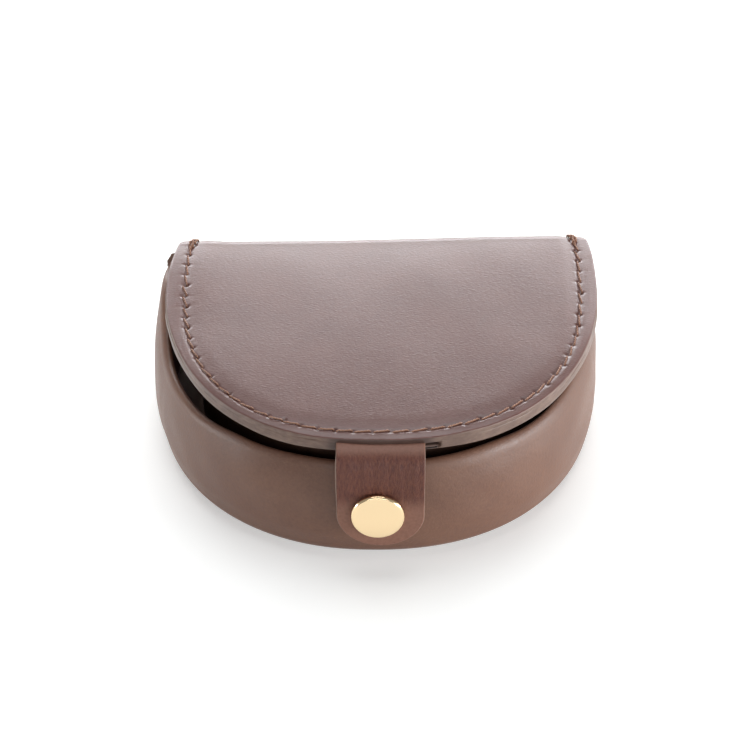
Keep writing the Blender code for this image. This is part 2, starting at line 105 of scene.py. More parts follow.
def at_lengths(length, run, points):
    """Places at lengths along a line of points in a plane."""
    return np.column_stack([np.interp(length, run, points[:, axis]) for axis in (0, 1)])


def horseshoe(half_width, front_reach, draw_in, power, count):
    """Evenly spaced points round a horseshoe, from right rear to left rear, the way out at each
    point, and the length of the curve up to it. Its sides draw in towards the straight back."""
    y = np.linspace(REAR_REACH, 0, 80, endpoint=False)
    side = np.column_stack([half_width - draw_in * (y / REAR_REACH) ** 2, y])
    turn = np.linspace(0, math.pi / 2, 900)
    front = np.column_stack([half_width * np.cos(turn) ** (2 / power),
                             -front_reach * np.sin(turn) ** (2 / power)])
    right = np.concatenate([side, front])
    curve = np.concatenate([right, right[-2::-1] * (-1, 1)])
    run = run_along(curve)
    length = np.linspace(0, run[-1], count)
    points = at_lengths(length, run, curve)
    along = np.gradient(points, axis=0)
    out = np.column_stack([-along[:, 1], along[:, 0]])
    from_end = np.minimum(length, length[-1] - length)
    out[:, 1] *= np.clip(from_end / (6 * MM), 0, 1)
    out /= np.linalg.norm(out, axis=1)[:, None]
    return points, out, length


def placed(points, shift):
    """Move points from the outline's own axes to the model's, with a shift sideways."""
    points = np.asarray(points, float).copy()
    points[..., 0] += shift
    points[..., 1] += WIDEST_LINE
    return points


def smooth(value, start, end):
    """Rise softly from 0 to 1 between two values."""
    share = np.clip((value - start) / (end - start), 0, 1)
    return share * share * (3 - 2 * share)


def lean(height):
    """Sideways shift at a height on the spine, from the tray's below to the lid's above."""
    return TRAY_SHIFT + (LID_SHIFT - TRAY_SHIFT) * np.clip(height / HEIGHT, 0, 1)


def settled(points):
    """Give cover pieces the shape that wear has left. The cover narrows towards its folds, so that
    its rear corners look rounded. The lid's edge has spread, most at the left. Its rear has crept
    back and up, most at the right, and its front is lower at the left and higher at the right."""
    points = np.asarray(points, float).copy()
    x, y, z = points[..., 0], points[..., 1], points[..., 2]
    corner_start = 4 * MM
    rise = np.abs(z - MID_SPINE) - (HEIGHT - BEND - MID_SPINE)
    back = np.clip(y - FOLD_LINE, 0, None)
    turn = np.where(rise > 0, np.arctan2(back, np.clip(rise, 0.001 * MM, None)), math.pi / 2)
    run = np.clip(y - corner_start, 0, FOLD_LINE - corner_start)
    run += np.where(y > FOLD_LINE, BEND * turn, 0)
    narrowed = np.clip(1.1 * (run / (8.6 * MM)) ** 7, 0, 1.6) * MM
    upper = smooth(z, 4 * MM, 24 * MM)
    weight = smooth(y, -20 * MM, 8 * MM) * upper
    side = np.clip(np.abs(x) / (41.5 * MM), 0, 1)
    spread = MM * upper * side ** 20 * np.where(x < 0, 1.3 - 0.5 * smooth(y, -2 * MM, 10 * MM), 0.75)
    points[..., 0] = x + np.sign(x) * (spread - narrowed * side ** 12)
    points[..., 1] = y + (1.15 + 0.8 * x / (41 * MM)) * MM * weight
    # x and y are views of the points, so the lift and the tilt go by the moved places
    lift = 0.1 + 0.78 * smooth(x, -12 * MM, 38 * MM) + 0.6 * smooth(-x, 30 * MM, 41 * MM)
    tilt = 0.42 * np.clip(x / (30 * MM), -0.7, 1.2) * upper * (1 - smooth(y, -20 * MM, 8 * MM))
    points[..., 2] = z + (lift * weight + tilt) * MM
    return points


def shell(name, grids, towards, edge_radius=0.3 * MM, flesh_radius=0.3 * MM, undercut=0.0):
    """Join grids of points into one sheet of leather with rounded cut edges. Each grid has a
    thickness, or one for each of its rows. The first face of the sheet looks towards a direction.
    Faces carry 0 for the grain side and the first half of the edge's rounding, 1 for the rest of
    the cut edge and 2 for the flesh side. The cut edge draws in by the undercut towards the flesh
    side, or stands out there where the undercut is below zero."""
    sheet = bmesh.new()
    depth = sheet.verts.layers.float.new("depth")
    for grid, thickness in grids:
        thickness = np.broadcast_to(np.asarray(thickness, float), (len(grid),))
        rows = []
        for row, thick in zip(grid, thickness):
            rows.append([sheet.verts.new(point) for point in row])
            for corner in rows[-1]:
                corner[depth] = thick
        for row, following in zip(rows, rows[1:]):
            for place in range(len(row) - 1):
                sheet.faces.new((row[place], row[place + 1], following[place + 1], following[place]))
    bmesh.ops.remove_doubles(sheet, verts=sheet.verts, dist=0.002 * MM)
    bmesh.ops.dissolve_degenerate(sheet, edges=sheet.edges, dist=0.0005 * MM)
    bmesh.ops.recalc_face_normals(sheet, faces=sheet.faces)
    sheet.faces.ensure_lookup_table()
    if sheet.faces[0].normal.dot(Vector(towards)) < 0:
        bmesh.ops.reverse_faces(sheet, faces=sheet.faces)
    sheet.normal_update()

    grain = list(sheet.faces)
    rim = [edge for edge in sheet.edges if edge.is_boundary]
    outward = {}
    for edge in rim:
        face = edge.link_faces[0]
        side = (edge.verts[1].co - edge.verts[0].co).cross(face.normal)
        middle = (edge.verts[0].co + edge.verts[1].co) / 2
        if side.dot(middle - face.calc_center_median()) < 0:
            side.negate()
        for corner in edge.verts:
            outward[corner] = outward.get(corner, Vector()) + side.normalized()
    below = {corner: corner.co - corner.normal * corner[depth] for corner in sheet.verts}
    ways = {}
    for corner, side in outward.items():
        normal = corner.normal
        side = (side - side.project(normal)).normalized()
        thick = corner[depth]
        radius = min(edge_radius, thick * 0.55)
        way = [corner]
        for step in (1, 2, 3, 4):
            bend = math.pi / 8 * step
            point = corner.co + side * radius * math.sin(bend) - normal * radius * (1 - math.cos(bend))
            way.append(sheet.verts.new(point))
        small = min(flesh_radius, thick - radius - 0.02 * MM)
        for step in (0, 1, 2, 3):
            bend = math.pi / 6 * step
            point = (corner.co + side * (radius - undercut - small * (1 - math.cos(bend)))
                     - normal * (thick - small * (1 - math.sin(bend))))
            way.append(sheet.verts.new(point))
        ways[corner] = way
    under = {corner: sheet.verts.new(point) for corner, point in below.items()}
    for corner, way in ways.items():
        under[corner].co -= outward[corner].normalized() * undercut
        way.append(under[corner])
    for edge in rim:
        loop = edge.link_loops[0]
        first, second = loop.vert, loop.link_loop_next.vert
        for step in range(len(ways[first]) - 1):
            face = sheet.faces.new((ways[second][step], ways[first][step],
                                    ways[first][step + 1], ways[second][step + 1]))
            face.material_index = int(step > 1)
    for face in grain:
        flesh = sheet.faces.new([under[corner] for corner in reversed(face.verts)])
        flesh.material_index = 2
    return piece(name, sheet)


def remember(mesh):
    """Keep the places of a mesh's points at rest, which its materials are drawn by."""
    spots = np.zeros(len(mesh.vertices) * 3, np.float32)
    mesh.vertices.foreach_get("co", spots)
    mesh.attributes.new("rest", "FLOAT_VECTOR", "POINT").data.foreach_set("vector", spots)


def piece(name, shape):
    """Turn a finished shape into a smooth object that remembers where its points are at rest."""
    mesh = bpy.data.meshes.new(name)
    shape.to_mesh(mesh)
    shape.free()
    mesh.shade_smooth()
    remember(mesh)
    made = bpy.data.objects.new(name, mesh)
    bpy.context.scene.collection.objects.link(made)
    return made


def d_sheet(outline, insets, height, inner_rows):
    """Grid of a D: rings that follow the curved edge, then rows that close in on the straight back.
    Height is a function of the places, the length along the edge and the inset."""
    points, out, length = outline
    rings = []
    for inset in insets:
        flat = points - out * inset
        flat[0, 1] = flat[-1, 1] = REAR_REACH
        rings.append(np.column_stack([flat, height(flat, length, np.full(len(flat), inset))]))
    last = rings[-1][:, :2]
    spread = 1 - 2 * length / length[-1]
    target = np.column_stack([spread * last[0, 0] * 0.8, np.full(len(last), REAR_REACH)])
    for row in range(1, inner_rows + 1):
        share = row / inner_rows
        share = share * (1.25 - 0.25 * share)
        flat = last * (1 - share) + target * share
        inset = np.full(len(flat), insets[-1] + share * 20 * MM)
        rings.append(np.column_stack([flat, height(flat, length, inset)]))
    return np.array(rings)


def straight_back(grid):
    """The points of a D's straight back, in order from right to left."""
    return np.concatenate([grid[:-1, 0], grid[-1], grid[-2::-1, -1]])


def strip(back, path):
    """Carry a D's straight back on along a path of (distance back, height). The seam's hollows
    and the face's fall run out round the bend."""
    rows = []
    for step, (y, z) in enumerate(path):
        rise = (back[:, 2] - path[0][1]) * max(0.0, 1 - (step / 16) ** 2)
        rows.append(np.column_stack([back[:, 0], np.full(len(back), y), z + rise]))
    return np.array(rows)


def spine_path(top):
    """Points round one bend of the spine and on to halfway up, as (distance back, height)."""
    sign = 1 if top else -1
    centre = HEIGHT - BEND if top else BEND
    path = [(REAR_REACH, centre + sign * BEND), (FOLD_LINE, centre + sign * BEND)]
    for step in range(1, 15):
        bend = math.pi / 2 * step / 14
        path.append((FOLD_LINE + BEND * math.sin(bend), centre + sign * BEND * math.cos(bend)))
    for step in range(1, 7):
        path.append((FOLD_LINE + BEND, centre + (MID_SPINE - centre) * step / 6))
    return path


def half_spine(grid, top, shift):
    """Carry a D on as one half of the spine, whose sides come to the width that both halves have
    where they meet. It leans with the lid, and it starts on the D's own straight back."""
    rows = settled(strip(straight_back(grid), spine_path(top)))
    share = smooth(1 - np.abs(rows[..., 2] - MID_SPINE) / (MID_SPINE - BEND), 0, 1)
    rows[..., 0] *= 1 + (SPINE_HALF / np.abs(rows[-1, :, 0]).max() - 1) * share
    rows[..., 0] += lean(rows[..., 2])
    rows = placed(rows, 0.0)
    rows[0] = placed(settled(straight_back(grid)), shift)
    return rows


def linear(hex_colour):
    """Turn a colour as seen on a screen into light values."""
    channels = [int(hex_colour[place:place + 2], 16) / 255 for place in (0, 2, 4)]
    return [c / 12.92 if c <= 0.04045 else ((c + 0.055) / 1.055) ** 2.4 for c in channels] + [1.0]


def feed(tree, node, inputs):
    """Give a node's inputs their values, or links to other nodes."""
    for name, value in inputs.items():
        if isinstance(value, bpy.types.NodeSocket):
            tree.links.new(value, node.inputs[name])
        else:
            node.inputs[name].default_value = value


def add(tree, kind, inputs=None, **settings):
    """Add one node with its settings, and with values or links for its inputs."""
    made = tree.nodes.new("ShaderNode" + kind)
    for name, value in settings.items():
        setattr(made, name, value)
    feed(tree, made, inputs or {})
    return made


def surface(name):
    """Begin a material, with its nodes and its shader."""
    material = bpy.data.materials.new(name)
    material.use_nodes = True
    return material, material.node_tree, material.node_tree.nodes["Principled BSDF"]


def at_rest(tree):
    """The places that a piece's points have when the purse is closed."""
    return add(tree, "Attribute", attribute_name="rest").outputs["Vector"]


def noise(tree, place, size, detail, **more):
    """Noise whose features have about this size."""
    inputs = {"Vector": place, "Scale": 1 / size, "Detail": detail, **more}
    return add(tree, "TexNoise", inputs).outputs["Fac"]


def ramp(tree, value, start, end, low=0.0, high=1.0, **settings):
    """Carry a value that runs from start to end over to the range from low to high."""
    return add(tree, "MapRange", {0: value, 1: start, 2: end, 3: low, 4: high}, **settings).outputs[0]


def calc(tree, operation, *values, **settings):
    """Work out one sum on values or links."""
    return add(tree, "Math", dict(enumerate(values)), operation=operation, **settings).outputs[0]


def tint(tree, share, deep, pale):
    """A colour between two others, which are screen colours or links."""
    ends = [linear(end) if isinstance(end, str) else end for end in (deep, pale)]
    return add(tree, "Mix", {0: share, 6: ends[0], 7: ends[1]}, data_type="RGBA").outputs[2]


def relief(tree, height, strength, depth):
    """Let a value show as fine relief."""
    return add(tree, "Bump", {"Strength": strength, "Distance": depth, "Height": height}).outputs["Normal"]


def calf(name, deep, pale, roughness, stretch, grain_depth=0.035 * MM, coat=0.12):
    """Vegetable-tanned calf, dyed through and plated smooth, then waxed. The eye gets a soft sheen,
    a slow cloudiness of colour and a fine grain. Real pores are 0.15 mm apart, too fine to show,
    so the grain is drawn at 0.5 mm, and it runs out long across the skin where it was stretched."""
    material, tree, shader = surface(name)
    rest = at_rest(tree)
    grain = 0.5 * MM
    run = add(tree, "Mapping", {"Vector": rest, "Scale": stretch}).outputs["Vector"]
    cloud = noise(tree, rest, 11 * MM, 4.0, Roughness=0.55)
    fleck = noise(tree, run, grain, 3.0, Roughness=0.6)
    pores = add(tree, "TexVoronoi", {"Vector": run, "Scale": 1 / grain},
                feature="DISTANCE_TO_EDGE").outputs["Distance"]
    spread = ramp(tree, cloud, 0.3, 0.7, 0.15, 0.5)
    mottle = ramp(tree, fleck, 0.3, 0.7, 0.0, 0.4)
    share = calc(tree, "ADD", spread, mottle, use_clamp=True)
    feed(tree, shader, {
        "Base Color": tint(tree, share, deep, pale),
        "Roughness": ramp(tree, fleck, 0.3, 0.7, roughness - 0.05, roughness + 0.07),
        "Normal": relief(tree, calc(tree, "ADD", pores, fleck), 1.0, grain_depth),
        "IOR": 1.5,
        "Coat Weight": coat,
        "Coat Roughness": 0.32,
    })
    return material


def cut_edge(name, deep, pale):
    """Cut edges of the same calf, sanded, inked and burnished with wax. The eye gets a paler, tighter
    surface than the face, with faint lines along the edge where fibres lie at different heights.
    Fibre layers are about 0.1 mm apart, and they are drawn at 0.35 mm so that they show."""
    material, tree, shader = surface(name)
    rest = at_rest(tree)
    run = add(tree, "Mapping", {"Vector": rest, "Scale": (0.25, 0.25, 0.8)}).outputs["Vector"]
    layers = noise(tree, run, 0.35 * MM, 2.0)
    wear = noise(tree, rest, 5 * MM, 5.0, Roughness=0.6)
    share = ramp(tree, calc(tree, "MULTIPLY", layers, wear), 0.12, 0.42)
    feed(tree, shader, {
        "Base Color": tint(tree, share, deep, pale),
        "Roughness": 0.42,
        "Normal": relief(tree, layers, 0.4, 0.02 * MM),
        "IOR": 1.5,
    })
    return material


def flesh(name, deep, pale):
    """The flesh side of pared leather, sanded but not polished. The eye gets a matt, faintly
    fibrous surface. Loose fibres are about 0.05 mm thick, and they are drawn at 0.4 mm."""
    material, tree, shader = surface(name)
    nap = noise(tree, at_rest(tree), 0.4 * MM, 4.0, Distortion=1.5)
    feed(tree, shader, {
        "Base Color": tint(tree, nap, deep, pale),
        "Roughness": 0.85,
        "Normal": relief(tree, nap, 0.6, 0.08 * MM),
        "Sheen Weight": 0.15,
    })
    return material


def finish(made, *materials):
    """Give a piece its materials: grain side, cut edges and flesh side."""
    for material in materials:
        made.data.materials.append(material)
    return made


cover_calf = calf("calf_plated_waxed", "593731", "714C45", 0.34, (0.55, 1.3, 1.0))
calf_edge = cut_edge("calf_edge_burnished", "624C44", "82695D")
calf_flesh = flesh("calf_flesh_sanded", "5A4237", "75594B")

TRAY_SIZE = (44.0 * MM, 50.9 * MM, 1.0 * MM, ROUNDNESS)  # half width, reach to the front, draw-in
base_outline = horseshoe(*TRAY_SIZE, 240)


def base_height(flat, length, inset):
    """The underside is flat where it stands, with the row of stitches sunk into it."""
    return 0.16 * MM * np.exp(-((inset - BASE_SEAM) / (0.7 * MM)) ** 2)


base_insets = np.concatenate([[3.9, 4.1], np.arange(4.3, 6.2, 0.25), [6.8, 7.8, 9.5]]) * MM
base_grid = d_sheet(base_outline, base_insets, base_height, 8)
base_placed = placed(settled(base_grid), TRAY_SHIFT)
lower_half = half_spine(base_grid, False, TRAY_SHIFT)
base_cover = shell("base_cover_leather", [(base_placed, COVER), (lower_half, COVER)], (0, 0, -1))
finish(base_cover, cover_calf, calf_edge, calf_flesh)
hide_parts("base_cover", "spine_cover")
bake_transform(base_cover)

# Outer wall
# Calf 1.2 mm thick, turned in under the base board, drawn up round the horseshoe, rolled over the
# top of a board and hemmed inside. Wet moulding leaves it slightly swollen and not quite even.
WALL = 1.2 * MM
WALL_FLANGE = 8.5 * MM  # turned in under the base board
HEM_END = 0.7 * MM  # pared down to this towards the hem's end
TURN_START = 14.0 * MM  # above this height the wall turns in under the lid
FOOT_RADIUS = 2.1 * MM
FOOT_INSET = 0.3 * MM
FOOT_TOP = 2.9 * MM
ROLL_HEIGHT = 23.2 * MM
ROLL_TOP = 24.9 * MM
ROLL_RADIUS = 1.3 * MM
HEM_FOOT = 18.6 * MM
WALL_SIZE = (44.15 * MM, 50.9 * MM, 0.9 * MM, ROUNDNESS)
# Place along the edge, width, depth and slant of each crease, in mm
CREASES = ((9.5, 0.9, 0.16, 0.10), (14.0, 1.1, 0.12, -0.12), (19.5, 1.3, 0.10, 0.15),
           (141.0, 1.4, 0.08, 0.10))


def sweep(outline, section, shift, swell=None):
    """Carry a section of (inset, height) round an outline. Swell gives how far points stand out."""
    points, out, length = outline
    rows = []
    for inset, height in section:
        out_by = -inset + (swell(points, length, height, inset) if swell else 0)
        flat = points + out * np.broadcast_to(out_by, length.shape)[:, None]
        flat[0, 1] = flat[-1, 1] = REAR_REACH
        rows.append(np.column_stack([flat, np.full(len(flat), height)]))
    return placed(np.array(rows), shift)


def bend_points(centre, radius, start, end, steps):
    """Points on a round bend of a section, angles in degrees."""
    turn = np.radians(np.linspace(start, end, steps + 1))
    return [(centre[0] + radius * math.cos(t), centre[1] + radius * math.sin(t)) for t in turn]


def wall_swell(points, length, height, inset):
    """The wall bulges at mid height, most at the far left, and low down at the front, with slow
    unevenness and a few soft creases. Its top turns in under the lid, with a soft ridge at the
    right. Towards its rear ends, which the spine holds, it comes back to its own line."""
    x, y, z = points[:, 0] / MM, points[:, 1] / MM, height / MM
    share = np.clip((height - FOOT_TOP) / (ROLL_HEIGHT - FOOT_TOP), 0, 1)
    body = math.sin(math.pi * share)
    s = length / MM
    slow = 0.13 * np.sin(s / 7.3 + 0.6) + 0.09 * np.sin(s / 3.9 + z / 5.0)
    slow += 0.05 * np.sin(s / 1.9 - z / 3.1)
    crease = np.zeros_like(s)
    for centre, width, deep, slant in CREASES:
        crease -= deep * np.exp(-((s - centre - slant * z) / width) ** 2)
    low = (0.65 - 0.3 * smooth(-x, 5, 30)) * math.exp(-((z - 5.5) / 7.5) ** 2) * smooth(-y, -9, 0)
    left = 0.5 * smooth(-x, 32, 42) * np.exp(-((y + 3) / 13) ** 2)
    ridge = 0.08 * np.exp(-((z - 22.8 - 0.2 * np.sin(s / 4)) / 0.9) ** 2) * smooth(x, -2, 20)
    held = 1 - 0.85 * smooth(y, -8, 9)
    beside = smooth(y, -26, -10)
    reach = 1.3 + 0.5 * smooth(-x, 8, 22) - 0.8 * smooth(-x, 26, 36) + 0.5 * smooth(x, 26, 38)
    reach = (reach + beside * (0.2 * smooth(-x, 30, 40) + 0.6 * smooth(x, 30, 40))) * held
    turned = reach - np.clip(inset / (2 * ROLL_RADIUS), 0, 1) * np.minimum(0.6 * reach, 1.2)
    turned *= max(0.0, (height - TURN_START) / (ROLL_TOP - TURN_START)) ** (2.4 + 1.1 * beside)
    return ((0.42 + left + slow + crease) * body + low + ridge * held - turned) * MM


def sunk(grid):
    """Lower the wall towards its top, where the tray has been pressed down, most at the left and
    at the far right. It comes up again towards its rear ends, sooner at the right."""
    grid = grid.copy()
    x, back = grid[..., 0], grid[..., 1] - WIDEST_LINE
    drop = 3.4 - 0.3 * smooth(x, 5 * MM, 22 * MM) + 0.6 * smooth(-x, 10 * MM, 25 * MM)
    drop += smooth(-x, 25 * MM, 36 * MM)
    drop += smooth(x, 20 * MM, 32 * MM)
    held = smooth(back + 10 * MM * smooth(x, 10 * MM, 30 * MM), -18 * MM, 6 * MM)
    drop = drop * (1 - held) - 0.6 * held
    grid[..., 2] -= drop * MM * np.clip((grid[..., 2] - FOOT_TOP) / (ROLL_HEIGHT - FOOT_TOP), 0, 1)
    return grid


def returned(grid, section):
    """Carry the wall's outer layer 4.2 mm past its rear ends, where it is drawn in behind the
    spine's corners, more at the left, and comes up to the lid."""
    grid = grid.copy()
    insets = np.array([inset for inset, height in section])[:, None]
    heights = np.array([height for inset, height in section])[:, None]
    back = grid[..., 1] - WIDEST_LINE
    outer = np.clip(1.15 - insets / (0.8 * MM), 0, 1) * smooth(heights, 2.5 * MM, 7 * MM)
    reach = np.clip((back - 3 * MM) / (REAR_REACH - 3 * MM), 0, 1) ** 2 * outer
    grid[..., 1] += 4.2 * MM * reach
    grid[..., 0] -= np.where(grid[..., 0] > 0, 1.6, -2.6) * MM * reach ** 2
    grid[..., 2] += 1.5 * MM * reach * smooth(heights, 12 * MM, 24 * MM)
    return grid


wall_section = [(WALL_FLANGE, 1.4 * MM), (4.6 * MM, 1.4 * MM), (4.0 * MM, 1.3 * MM), (3.45 * MM, 0.95 * MM)]
wall_section += bend_points((FOOT_RADIUS + FOOT_INSET, FOOT_TOP), FOOT_RADIUS, -90, -180, 10)
wall_section += [(max(0.0, FOOT_INSET - (z - FOOT_TOP) * 0.08), z)
                 for z in np.linspace(FOOT_TOP, ROLL_HEIGHT, 32)[1:-1]]
wall_section += [(inset, ROLL_HEIGHT + (height - ROLL_HEIGHT) * (ROLL_TOP - ROLL_HEIGHT) / ROLL_RADIUS)
                 for inset, height in bend_points((ROLL_RADIUS, ROLL_HEIGHT), ROLL_RADIUS, 180, 0, 16)]
roll_end = len(wall_section)
wall_section += [(2 * ROLL_RADIUS, z) for z in np.linspace(ROLL_HEIGHT, HEM_FOOT + CLEARANCE, 6)[1:]]
wall_depth = np.full(len(wall_section), WALL)
wall_depth[roll_end - 4:] = np.linspace(WALL, HEM_END, len(wall_section) - roll_end + 4)
wall_grid = sunk(sweep(horseshoe(*WALL_SIZE, 420), wall_section, TRAY_SHIFT, wall_swell))
wall_grid = returned(wall_grid, wall_section)
wall_calf = calf("calf_wet_moulded", "613F31", "7C5743", 0.46, (0.8, 0.8, 0.8))
outer_wall = shell("outer_wall", [(wall_grid, wall_depth)], (0, 0, -1))
finish(outer_wall, wall_calf, calf_edge, calf_flesh)
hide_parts("outer_wall_leather")
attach(outer_wall, "tray")

# Boards
# Stiffeners of bonded leather board, 0.6 to 0.7 mm in the walls and 1.2 mm under the floor, glued
# between the leather and the lining. Only their cut ends show when the purse is open. The outer
# wall's board follows the bent wall.
board = flesh("leather_board_bonded", "7A6651", "A08A70")
BOARD_INSET = 1.25 * MM  # just behind the wall's leather
board_section = [(BOARD_INSET, z) for z in np.linspace(4.0 * MM, 22.4 * MM, 14)]
board_grid = sunk(sweep(horseshoe(*WALL_SIZE, 160), board_section, TRAY_SHIFT, wall_swell))
wall_board = shell("outer_wall_board_bonded", [(board_grid, 0.6 * MM)], (0, -1, 0), 0.1 * MM, 0.1 * MM)
finish(wall_board, board, board, board)
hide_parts("outer_wall_board")
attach(wall_board, "tray")
for name in ("base_board", "lid_board", "inner_wall_board"):
    remember(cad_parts[name].data)
    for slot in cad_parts[name].material_slots:
        slot.material = board

# Linings of the tray
# Thin calf, 0.6 mm, left matt: one D on the floor, one band inside the wall below the hem, and a
# strip that comes up the lower half of the spine.
LINING = 0.6 * MM
lining_calf = calf("calf_lining_matt", "5E443A", "745748", 0.62, (0.9, 0.9, 0.9), 0.04 * MM, 0.0)
SPINE_LINING_HALF = 40.9 * MM  # half its width in the spine
lining_bend = BEND - COVER - CLEARANCE - LINING  # radius of its face in the spine's bends


def floor_height(flat, length, inset):
    """The floor lining lies flat, a little uneven over its glue."""
    x, y = flat[:, 0] / MM, flat[:, 1] / MM
    return (3.5 + 0.03 * np.sin(x / 6) * np.sin(y / 7 + 1)) * MM


floor_grid = d_sheet(horseshoe(*TRAY_SIZE, 160), np.array([3.0, 3.6, 4.6, 6.0, 9.0]) * MM, floor_height, 10)
floor_lining = shell("floor_lining", [(placed(floor_grid, TRAY_SHIFT), LINING)], (0, 0, 1), 0.2 * MM)
finish(floor_lining, lining_calf, calf_edge, calf_flesh)
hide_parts("base_lining")
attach(floor_lining, "tray")

LINING_INSET = 3.1 * MM
lining_section = [(LINING_INSET, z) for z in np.linspace(3.9 * MM, HEM_FOOT - CLEARANCE, 12)]
lining_grid = sunk(sweep(horseshoe(*TRAY_SIZE, 200), lining_section, TRAY_SHIFT, wall_swell))
wall_lining = shell("outer_wall_lining_leather", [(lining_grid, LINING)], (-1, 0, 0), 0.2 * MM)
finish(wall_lining, lining_calf, calf_edge, calf_flesh)
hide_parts("outer_wall_lining")
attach(wall_lining, "tray")


def spine_lining_rows(top):
    """Rows of the spine's lining on one side, narrow between the walls and wide in the spine."""
    sign = 1 if top else -1
    centre = HEIGHT - BEND if top else BEND
    narrow = 33.2 * MM if top else 38.6 * MM
    level = 26.6 * MM if top else 3.6 * MM
    bend_level = centre + sign * lining_bend
    rows = [(y * MM, level, narrow) for y in (6.2, 8.2, 9.4)]
    rows += [(10.1 * MM, (level + bend_level) / 2, narrow), (10.45 * MM, bend_level, SPINE_LINING_HALF)]
    for turn in np.linspace(0, math.pi / 2, 11)[1:]:
        y = FOLD_LINE + lining_bend * math.sin(turn)
        rows.append((y, centre + sign * lining_bend * math.cos(turn), SPINE_LINING_HALF))
    for share in np.linspace(0, 1, 6)[1:]:
        rows.append((FOLD_LINE + lining_bend, centre + (MID_SPINE - centre) * share, SPINE_LINING_HALF))
    across = np.linspace(1, -1, 60)
    grid = np.array([np.column_stack([across * half, np.full(60, y), np.full(60, z)])
                     for y, z, half in rows])
    grid = placed(settled(grid), 0.0)
    grid[..., 0] += lean(grid[..., 2])
    return grid


lower_lining = shell("spine_lining_lower", [(spine_lining_rows(False), LINING)], (0, 0, 1), 0.2 * MM)
finish(lower_lining, lining_calf, calf_edge, calf_flesh)
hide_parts("spine_lining")
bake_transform(lower_lining)

# Lid cover with the upper half of the spine
# The D that is seen from above, the same calf as under the base. Its edge is sewn through welt and
# flange, which draws the leather in at each hole and leaves small puckers beside the seam.
SEAM_PITCH = 3.55 * MM
SHADE_MIDDLE = 0.6 * MM  # painted shade: the lid's edge is drawn darker beside the tab, where it lies in shade
SHADE_FULL = 7.8 * MM  # from its middle to where it begins to fade
SHADE_END = 11.0 * MM
LID_SIZE = (42.0 * MM, 52.2 * MM, 0.45 * MM, 2.36)
lid_outline = horseshoe(*LID_SIZE, 660)
lid_points, lid_out, lid_length = lid_outline
stitch_count = round(lid_length[-1] / SEAM_PITCH)
pitch = lid_length[-1] / stitch_count
hole_rng = np.random.default_rng(7)
hole_pull = hole_rng.uniform(0.3, 1.45, stitch_count + 1)
hole_slant = hole_rng.uniform(-0.5, 0.6, stitch_count + 1)
hole_aside = hole_rng.uniform(-0.38, 0.38, stitch_count + 1)


def seam_inset(length):
    """Distance of the seam from the lid's edge: 2.25 mm at the front, 2.95 mm along the sides and
    2.6 mm at the rear."""
    y = np.interp(length, lid_length, lid_points[:, 1])
    return (2.25 + 0.7 * smooth(y, -36 * MM, -8 * MM) - 0.35 * smooth(y, -2 * MM, 10 * MM)) * MM


def lid_height(flat, length, inset):
    """The lid's face. It is slightly domed, falls towards the fold and the seam, and rolls down to
    its edge. The seam lies in a groove, and soft puckers run out from every hole."""
    x, y = flat[:, 0] / MM, flat[:, 1] / MM
    z = 0.04 * np.sin(x / 8.1 + 0.4) * np.sin(y / 9.3 + 1.1) + 0.02 * np.sin(x / 3.7 + y / 5.2)
    z += 0.30 * np.clip(1 - (x / 38) ** 2, 0, 1) * np.clip(1 - ((y + 18) / 34) ** 2, 0, 1)
    z -= 0.3 * np.clip((y + 26) / 36, 0, 1) ** 2.4
    s = length / MM
    uneven = 0.05 * np.sin(s / 3.1 + 0.7) + 0.035 * np.sin(s / 1.3) * smooth(-y, 25, 45)
    z -= (0.25 + uneven) * (1 - smooth(inset / MM, 0.1, 1.6)) * (1 - 0.7 * smooth(y, -8, 8))
    across = (inset - seam_inset(length)) / MM
    inner = across > 0
    z -= 0.34 * np.where(inner, np.exp(-(across / 2.1) ** 2), 1.0)
    number = np.clip((length / pitch).astype(int), 0, stitch_count - 1)
    z -= 0.17 * np.exp(-(across / 0.42) ** 2)
    for hole in (number, number + 1):
        off = (length - hole * pitch) / MM
        pull, slant, aside = hole_pull[hole], hole_slant[hole], hole_aside[hole]
        z -= 0.28 * pull * np.exp(-(off / 0.36) ** 2 - ((across - aside) / 0.5) ** 2)
        fold = off - slant * np.abs(across) - 0.25 * aside * across
        strength = np.where(inner, 0.14, 0.08) * pull * (0.35 + 0.45 * smooth(y, -45, -15))
        z -= strength * np.exp(-(fold / 0.40) ** 2) * np.exp(-np.abs(across) / np.where(inner, 0.6, 0.7))
    return HEIGHT + z * MM


lid_insets = np.concatenate([[0.42, 0.65], np.arange(0.9, 5.4, 0.17), [5.7, 6.3, 7.2, 8.6, 10.5]]) * MM
lid_grid = d_sheet(lid_outline, lid_insets, lid_height, 14)
lid_placed = placed(settled(lid_grid), LID_SHIFT)
upper_half = half_spine(lid_grid, True, LID_SHIFT)
lid_cover = shell("lid_cover_leather", [(lid_placed, COVER), (upper_half, COVER)], (0, 0, 1),
                  edge_radius=0.36 * MM, flesh_radius=0.01 * MM, undercut=-0.22 * MM)

